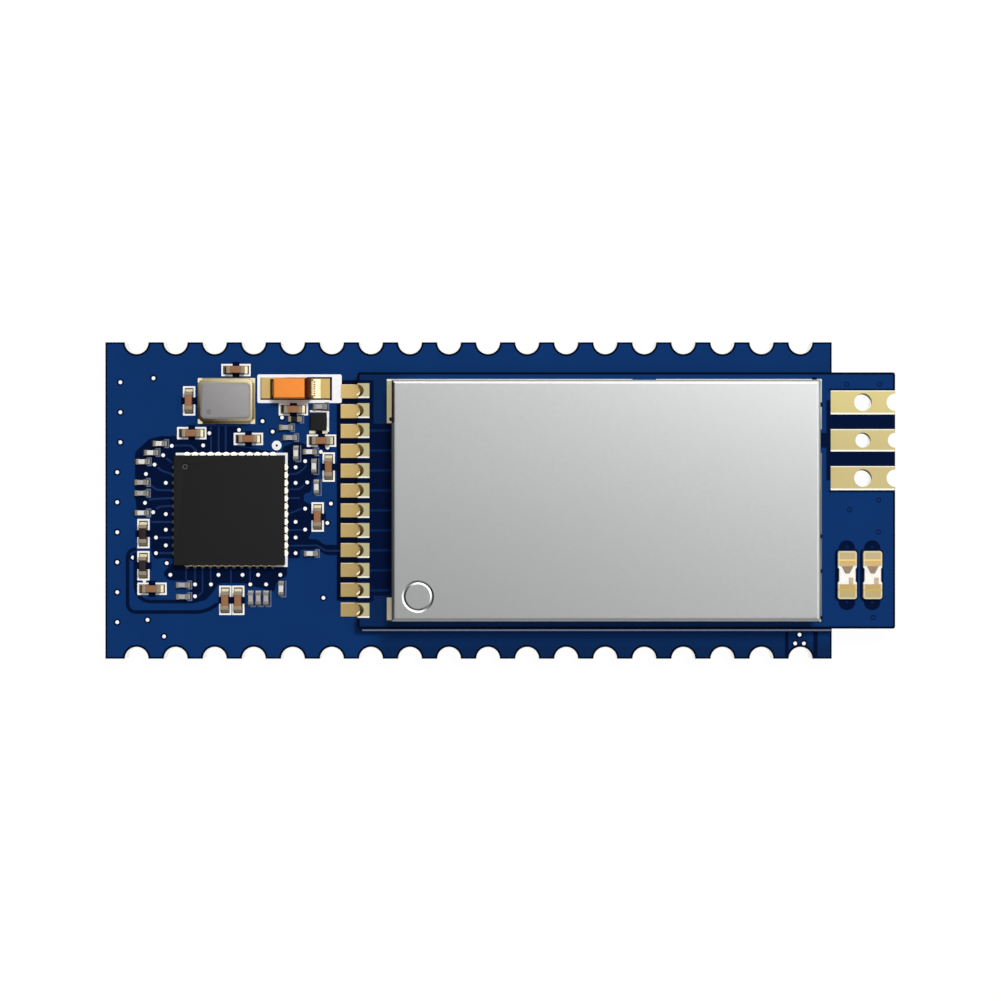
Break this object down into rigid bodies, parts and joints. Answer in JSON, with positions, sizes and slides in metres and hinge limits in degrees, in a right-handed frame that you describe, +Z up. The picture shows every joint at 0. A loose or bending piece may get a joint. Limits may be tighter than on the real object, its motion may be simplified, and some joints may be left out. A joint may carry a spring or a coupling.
{
  "type": "ultra-wideband positioning module",
  "caption": "Blue carrier board with plated half holes along both long edges, a controller chip with small parts, and a shielded radio board overhanging one end for its antenna contacts.",
  "frame": {"origin": "centre of the carrier board's underside", "axes": "+X along the carrier's contact rows towards the antenna end, +Y across the board, +Z up out of the component side"},
  "size_m": [0.0504, 0.0202, 0.0047],
  "materials": {
    "carrier_mask": "blue solder mask on glass-fibre laminate, satin",
    "radio_mask": "blue solder mask on glass-fibre laminate, satin",
    "gold_plate": "immersion gold over copper",
    "solder": "solder film over gold, dark in the half holes",
    "shield_sheet": "satin nickel-silver sheet",
    "chip_mould": "black moulding compound, matte",
    "tin_lead": "tin-plated lead frame",
    "dark_ceramic": "fired dark alumina",
    "seal_ring": "gold-plated seal ring",
    "lid_metal": "satin nickel-plated lid",
    "tantalum_mould": "orange moulded epoxy",
    "capacitor_ceramic": "brown sintered ceramic",
    "chip_end": "tin-plated chip end",
    "bead_ferrite": "dark ferrite",
    "pale_ceramic": "pale sintered ceramic",
    "led_base": "white laminate base",
    "led_lens": "clear epoxy",
    "silk_print": "white printed lines"
  },
  "bodies": {
    "root": {"carrier_board": "carrier_mask", "carrier_contacts": "gold_plate", "landing_pads": "gold_plate", "component_pads": "gold_plate", "radio_board": "radio_mask", "radio_contacts": "gold_plate", "solder_joints": "solder", "antenna_contacts": "gold_plate", "radio_component_pads": "gold_plate", "shield_pads": "gold_plate", "shield_can": "shield_sheet", "controller_body": "chip_mould", "controller_leads": "tin_lead", "controller_heat_pad": "tin_lead", "oscillator_base": "dark_ceramic", "oscillator_seal_ring": "seal_ring", "oscillator_lid": "lid_metal", "tantalum_body": "tantalum_mould", "tantalum_terminals": "tin_lead", "capacitor_bodies": "capacitor_ceramic", "capacitor_terminals": "chip_end", "bead_bodies": "bead_ferrite", "bead_terminals": "chip_end", "small_part_bodies": "pale_ceramic", "small_part_terminals": "chip_end", "diode_body": "chip_mould", "diode_terminals": "chip_end", "regulator_body": "chip_mould", "regulator_leads": "tin_lead", "led_bases": "led_base", "led_terminals": "gold_plate", "led_lenses": "led_lens", "transceiver_body": "chip_mould", "transceiver_leads": "tin_lead", "transceiver_heat_pad": "tin_lead", "crystal_base": "dark_ceramic", "crystal_lid": "lid_metal", "balun_body": "pale_ceramic", "balun_terminals": "chip_end", "decoupling_bodies": "capacitor_ceramic", "decoupling_terminals": "chip_end"}
  },
  "joints": []
}
